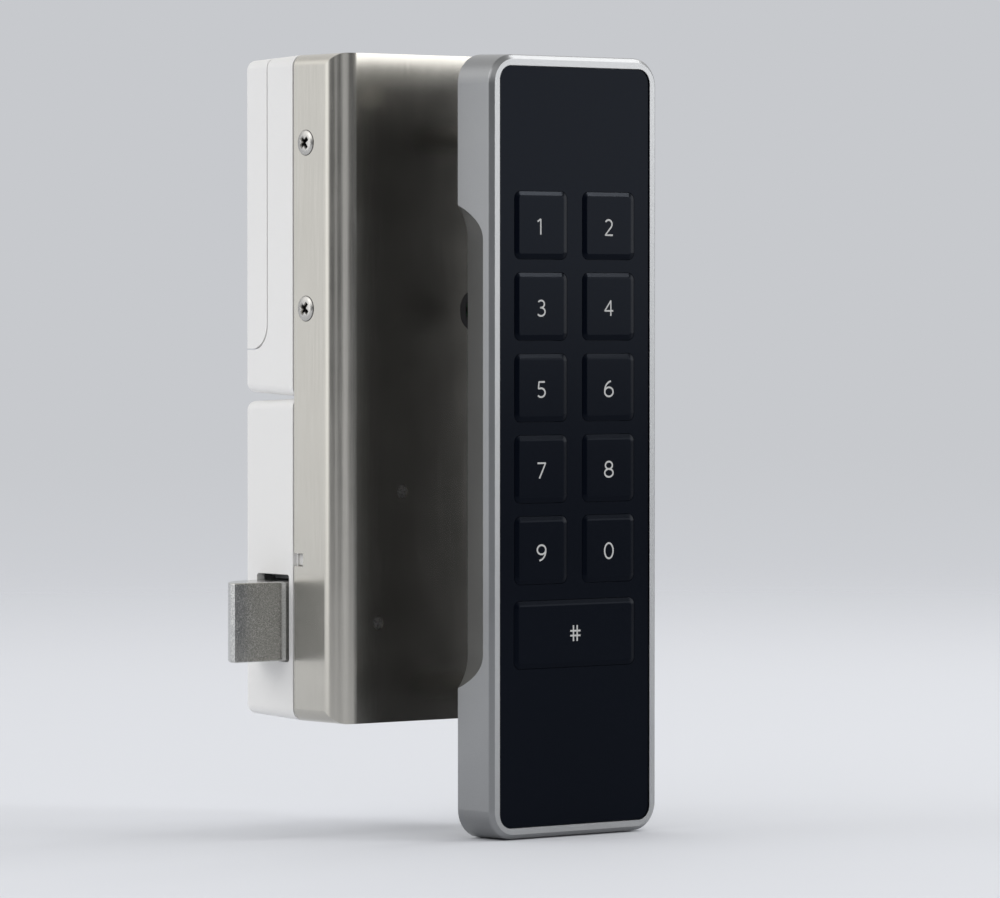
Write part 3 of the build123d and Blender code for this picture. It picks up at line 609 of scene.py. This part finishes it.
def cross_screw(name, profile, span, depth):
    """A turned screw with a tapering cross pressed into its head."""
    screw = turned(name, profile)
    top = profile[-1][1] + CROSS_ABOVE
    arm = span * MM / 6
    cutter = start(bpy.ops.mesh.primitive_grid_add, x_subdivisions=3, y_subdivisions=3,
                   size=span * MM, location=(0, 0, top * MM))
    pick(cutter, lambda middle: abs(middle.x) > arm and abs(middle.y) > arm)
    bpy.ops.mesh.delete(type="FACE")
    bpy.ops.mesh.select_all(action="SELECT")
    extrude(0, 0, -depth * MM)
    bpy.ops.transform.resize(value=(CROSS_TAPER, CROSS_TAPER, 1), center_override=(0, 0, 0))
    leave_outward(cutter, "cross")
    apply_modifier(screw, "BOOLEAN", object=cutter, operation="DIFFERENCE", solver="EXACT")
    bpy.data.objects.remove(cutter)
    soften(screw, 0.05 * MM, 40, 2)
    return screw


def screw_set(screw, name, node, finish, seats):
    """Copies of one screw, each with its own twist, as one piece."""
    placed = []
    for twist, turn, spot in seats:
        twin = another(screw, name)
        place(twin, (0, 0, math.radians(twist)), (0, 0, 0))
        place(twin, turn, spot)
        placed.append(twin)
    bpy.data.objects.remove(screw)
    piece = joined(placed, name)
    finish_piece(piece, node, finish=finish)
    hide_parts(node)


seats = []
for side, x, twists in ((-1, CASE_LEFT, (38, 52)), (1, CASE_RIGHT, (14, 71))):
    for twist, z in zip(twists, CASE_SCREW_Z):
        seats.append((twist, (0, side * math.pi / 2, 0), (x, CASE_SCREW_Y * MM, z * MM)))
screw_set(cross_screw("case_screw", CASE_SCREW_PROFILE, 2.9, 1.5),
          "case_cross_screws", "case_screws", CASE_SCREW, seats)

seats = [(twist, (-math.pi / 2, 0, 0), (x * MM, 0, z * MM)) for twist, x, z in PLATE_SCREW_SPOTS]
screw_set(cross_screw("plate_screw", PLATE_SCREW_PROFILE, 2.0, 1.0),
          "plate_cross_screws", "back_cover_screws", PLATE_SCREW, seats)


# Cells in the battery case

CELL_PROFILE = [(3.3, 0), (3.5, 0.04), (3.6, 0.3), (4.5, 0.3), (4.6, 0.04), (4.9, 0), (5.1, 0.1),
                (5.2, 0.4), (5.2, 43.1), (5.1, 43.4), (4.9, 43.5), (4.6, 43.46), (4.4, 43.2),
                (2.5, 43.2), (2.4, 43.5), (1.9, 43.56), (1.9, 44.3), (1.7, 44.5)]
cell = turned("cell", CELL_PROFILE, 64)
low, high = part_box("aaa_cells")
cells = []
for i in range(4):
    twin = another(cell, "cell_row")
    turn, foot = (0, low.z) if i % 2 == 0 else (math.pi, high.z)
    place(twin, (turn, 0, 0), (CELL_X + i * CELL_PITCH, (low.y + high.y) / 2, foot))
    cells.append(twin)
bpy.data.objects.remove(cell)
cell_row = joined(cells, "cell_row")
finish_piece(cell_row, "aaa_cells")
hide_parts("aaa_cells")


# Round-wire spring behind the latch

SPRING_TURNS = 6
WIRE_R = 0.32 * MM
low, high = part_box("latch_spring")
coil_r = (high.y - low.y) / 2 - WIRE_R
coil_len = high.x - low.x - 2 * WIRE_R
coil = start(bpy.ops.mesh.primitive_circle_add, vertices=12, radius=WIRE_R,
             location=(coil_r, 0, 0), rotation=(math.pi / 2, 0, 0))
leave(coil, "latch_coil")
apply_modifier(coil, "SCREW", axis="Z", screw_offset=coil_len / SPRING_TURNS,
               iterations=SPRING_TURNS, steps=28, render_steps=28)
only(coil)
bpy.ops.object.mode_set(mode="EDIT")
bpy.ops.mesh.select_all(action="SELECT")
bpy.ops.mesh.remove_doubles(threshold=0.001 * MM)
bpy.ops.mesh.fill_holes(sides=0)
leave_outward(coil, "latch_coil")
place(coil, (0, math.pi / 2, 0), (low.x + WIRE_R, (low.y + high.y) / 2, (low.z + high.z) / 2))
smooth(coil)
finish_piece(coil, "latch_spring", "carriage")
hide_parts("latch_spring")
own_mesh(coil)


# Silicone mat with a dome under each key, and two under the wide one

MAT_T = 0.8 * MM
WIDE_KEY_DOME_X = 8.4 * MM
low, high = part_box("keypad_mat")
mat_face = high.y - MAT_T
rise = (mat_face - low.y) / MM
middle = ((low.x + high.x) / 2, high.y, (low.z + high.z) / 2)
mat = start(bpy.ops.mesh.primitive_plane_add, size=1, location=middle,
            rotation=(math.pi / 2, 0, 0))
bpy.ops.mesh.select_all(action="SELECT")
bpy.ops.transform.resize(value=(high.x - low.x, 1, high.z - low.z), center_override=middle)
extrude(0, -MAT_T, 0)
leave_outward(mat, "mat_sheet")
soften(mat, 0.3 * MM)
finish_piece(mat, "keypad_mat")
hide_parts("keypad_mat")

dome = turned("mat_dome", [(3.6, -0.05), (3.4, 0.05), (2.75, rise - 0.3), (2.5, rise - 0.06),
                           (2.3, rise), (1.5, rise), (1.4, rise - 0.12), (0.9, rise - 0.12)], 40)
for sign in SIGNS:
    low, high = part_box("key_" + sign)
    spots = {"": 0}
    if sign == "hash":
        spots = {"_left": -WIDE_KEY_DOME_X, "_right": WIDE_KEY_DOME_X}
    for side, spot in spots.items():
        twin = another(dome, "mat_dome_" + sign + side)
        place(twin, (math.pi / 2, 0, 0),
              ((low.x + high.x) / 2 + spot, mat_face, (low.z + high.z) / 2))
        finish_piece(twin, "keypad_mat")
        "key_" + sign + "_press"
        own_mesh(twin)
bpy.data.objects.remove(dome)


# Stage, light and camera

FLOOR_R = 1.8
FLOOR_FADE = (0.45, 1.3)
# Dark patches of the surroundings: the way to each, and the cosines at its core and its edge.
DARK_PATCHES = (
    ((-0.9986, -0.0523, 0), 0.98, 0.93),
    ((-0.777, -0.629, 0), 0.99, 0.955),
    ((0.191, -0.982, 0), 0.974, 0.91),
)
VIEW_ACROSS = -39
VIEW_DOWN = 1.345


def studio_floor():
    """A pale round floor that fades out into the surroundings."""
    bpy.ops.object.select_all(action="DESELECT")
    bpy.ops.mesh.primitive_circle_add(vertices=96, radius=FLOOR_R, fill_type="NGON",
                                      location=(0, 0, FLOOR_Z))
    floor = bpy.context.object
    floor.name = "studio_floor"
    made = Finish("floor_paper", roughness=0.8)
    made.feed("Base Color", linear(222, 224, 229))
    far = made.node("ShaderNodeVectorMath", {"operation": "LENGTH"}, {0: made.place}, "Value")
    shown = made.node("ShaderNodeMixShader", inputs={
        0: made.between(far, *FLOOR_FADE),
        1: Wire(made, made.shader.outputs[0]),
        2: made.node("ShaderNodeBsdfTransparent")})
    made.plug(made.tree.nodes["Material Output"].inputs["Surface"], shown)
    wear(floor, made.material)


def surroundings():
    """Pale all round, lighter overhead, with a few dark patches for the metal to mirror."""
    world = bpy.data.worlds.new("studio")
    bpy.context.scene.world = world
    world.use_nodes = True
    sky = Nodes(world.node_tree)
    way = sky.node("ShaderNodeTexCoord", output="Generated")
    up = sky.node("ShaderNodeSeparateXYZ", inputs={0: way}, output="Z")
    shade = sky.mix(sky.between(up, -0.08, -0.02), linear(214, 216, 222), linear(199, 201, 205))
    shade = sky.mix(sky.between(up, 0.12, 0.4), shade, linear(240, 240, 240))
    shade = sky.mix(sky.between(up, 0.7, 0.95), shade, linear(190, 190, 190))
    for dark_way, core, edge in DARK_PATCHES:
        toward = sky.node("ShaderNodeVectorMath", {"operation": "DOT_PRODUCT"},
                          {0: way, 1: dark_way}, "Value")
        shade = sky.mix(sky.between(toward, edge, core) * 0.8, shade, linear(40, 40, 42))
    sky.plug(world.node_tree.nodes["Background"].inputs["Color"], shade)


def softbox(name, spot, target, wide, tall, power):
    """A flat rectangular lamp that faces its target."""
    lamp = bpy.data.lights.new(name, "AREA")
    lamp.shape = "RECTANGLE"
    lamp.size = wide
    lamp.size_y = tall
    lamp.energy = power
    piece = linked(bpy.data.objects.new(name, lamp))
    piece.location = spot
    piece.rotation_mode = "QUATERNION"
    piece.rotation_quaternion = (Vector(target) - Vector(spot)).to_track_quat("-Z", "Y")
    piece.visible_camera = False


studio_floor()
surroundings()
softbox("left_box", (-1.14, 0.89, 0.42), (-0.03, 0.03, 0), 1.35, 1.9, 4.1)
softbox("edge_box", (-1.27, 0.66, 0.3), (-0.03, 0.03, 0), 0.42, 1.5, 1.0)
softbox("high_box", (-1.2, 0.1, 0.75), (-0.03, 0.03, 0), 1.2, 0.8, 1.8)
softbox("right_box", (1.2, -0.94, 0.25), (0, 0, 0.02), 1.2, 0.5, 5.2)
softbox("strip_box", (0.88, -0.97, 0.71), (0, 0, 0.02), 0.3, 0.2, 3.1)
softbox("top_box", (0.82, 0, 1.01), (0, 0, 0), 0.45, 0.45, 2.2)

camera = bpy.data.cameras.new("camera")
camera.lens = 216
camera.sensor_width = 36
camera.clip_start = 0.05
camera.clip_end = 50
view = linked(bpy.data.objects.new("camera", camera))
view.location = (-0.7358, -0.8955, 0.0265)
view.rotation_euler = (math.radians(90 - VIEW_DOWN), 0, math.radians(VIEW_ACROSS))
bpy.context.scene.camera = view
bpy.context.scene.view_settings.view_transform = "Standard"
